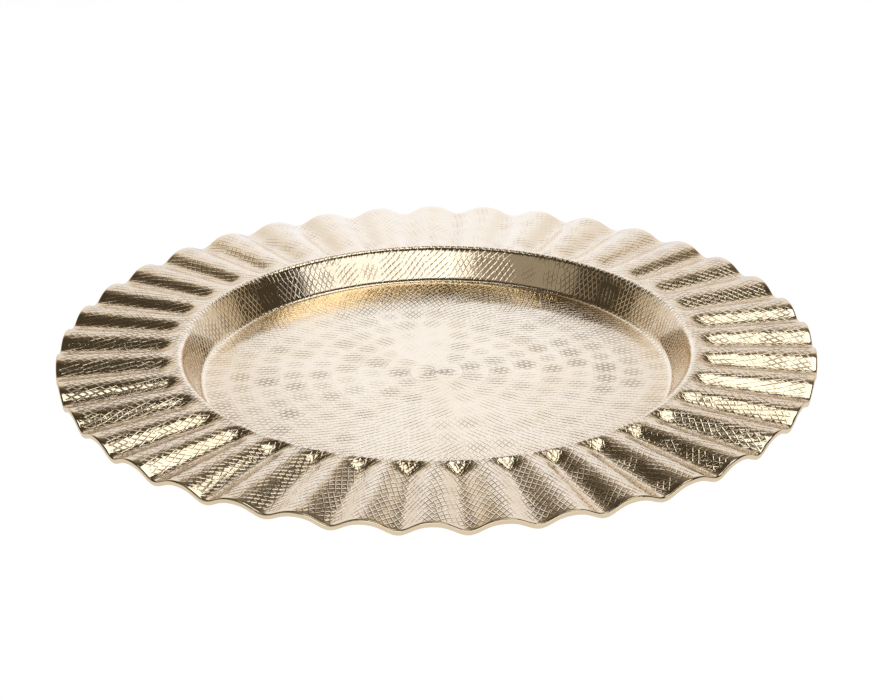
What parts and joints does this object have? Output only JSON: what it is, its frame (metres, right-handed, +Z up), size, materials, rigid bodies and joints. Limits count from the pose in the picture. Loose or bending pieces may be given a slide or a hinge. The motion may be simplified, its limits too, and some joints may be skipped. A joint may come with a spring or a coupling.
{
  "type": "fluted tray",
  "caption": "Round shallow brass tray with a flat floor, a sloping wall, a wide fluted rim and an edge rolled over a wire.",
  "frame": {"origin": "centre of the underside of the floor, where the tray stands", "axes": "+Z up through the tray's centre, +X through the crest of a flute"},
  "size_m": [0.33, 0.33, 0.016],
  "materials": {
    "brass_sheet": "polished pale champagne-gold brass with a fine pressed pattern",
    "iron_wire": "plain drawn wire"
  },
  "bodies": {
    "root": {"tray_sheet": "brass_sheet", "edge_wire": "iron_wire"}
  },
  "joints": []
}
